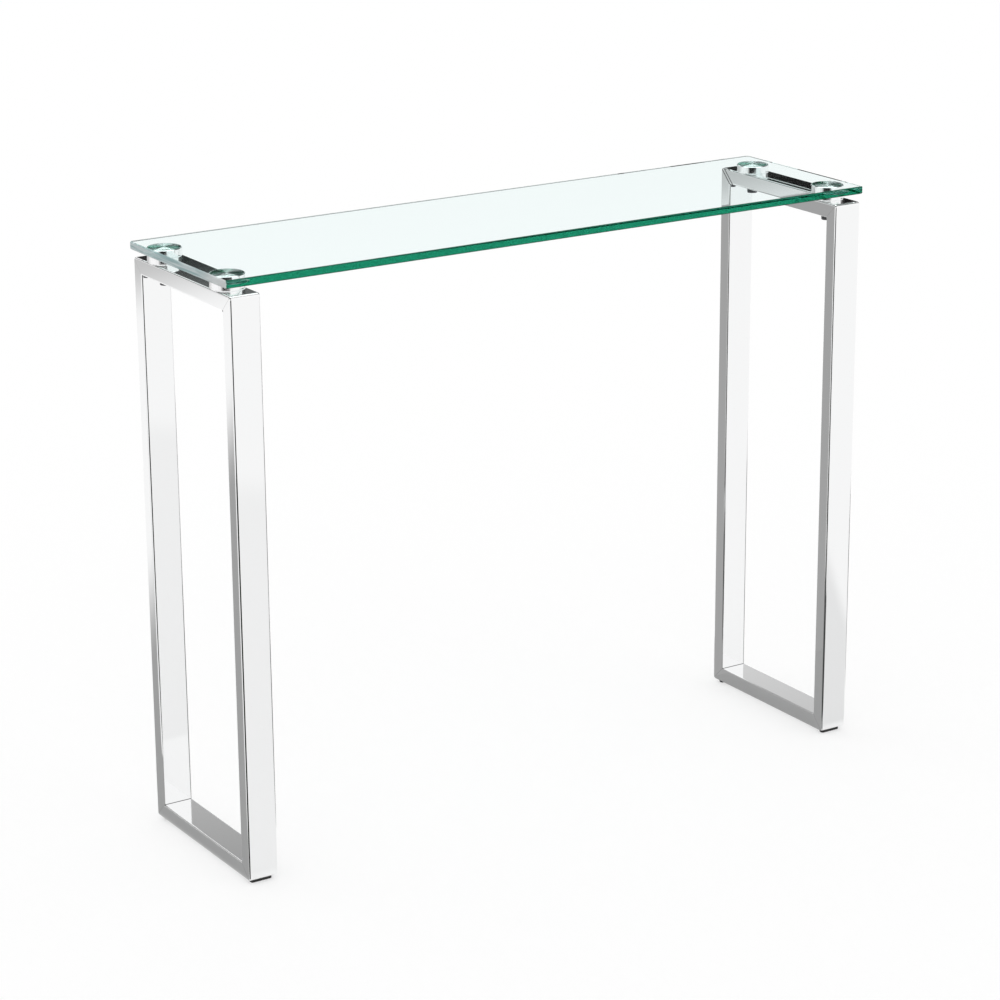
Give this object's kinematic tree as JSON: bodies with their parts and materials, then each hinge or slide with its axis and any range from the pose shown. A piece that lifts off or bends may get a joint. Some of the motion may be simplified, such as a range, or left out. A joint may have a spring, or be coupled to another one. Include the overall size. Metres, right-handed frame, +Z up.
{
  "type": "console table",
  "caption": "Narrow console table with a clear glass top bonded to turned metal standoffs on closed leg frames of polished rectangular tube.",
  "frame": {"origin": "on the floor, under the middle of the glass top", "axes": "+X along the length to the right seen from the front, +Y to the back, +Z up"},
  "size_m": [0.94, 0.25, 0.762],
  "materials": {
    "clear_glass": "clear tempered, polished edges",
    "polished_steel": "mirror polish",
    "turned_steel": "fine concentric turning marks",
    "blackened_steel": "black oxide",
    "clear_adhesive": "clear, cured",
    "black_rubber": "moulded, matte"
  },
  "bodies": {
    "root": {"glass_top": "clear_glass", "left_leg_top_rail": "polished_steel", "left_leg_front_post": "polished_steel", "left_leg_bottom_rail": "polished_steel", "left_leg_back_post": "polished_steel", "right_leg_top_rail": "polished_steel", "right_leg_front_post": "polished_steel", "right_leg_bottom_rail": "polished_steel", "right_leg_back_post": "polished_steel", "standoff_disc_front_left": "turned_steel", "bond_film_front_left": "clear_adhesive", "spacer_sleeve_front_left": "blackened_steel", "foot_pad_front_left": "black_rubber", "standoff_disc_back_left": "turned_steel", "bond_film_back_left": "clear_adhesive", "spacer_sleeve_back_left": "blackened_steel", "foot_pad_back_left": "black_rubber", "standoff_disc_front_right": "turned_steel", "bond_film_front_right": "clear_adhesive", "spacer_sleeve_front_right": "blackened_steel", "foot_pad_front_right": "black_rubber", "standoff_disc_back_right": "turned_steel", "bond_film_back_right": "clear_adhesive", "spacer_sleeve_back_right": "blackened_steel", "foot_pad_back_right": "black_rubber", "standoff_bolts": "blackened_steel", "flat_washers": "blackened_steel", "spring_washers": "blackened_steel"}
  },
  "joints": []
}
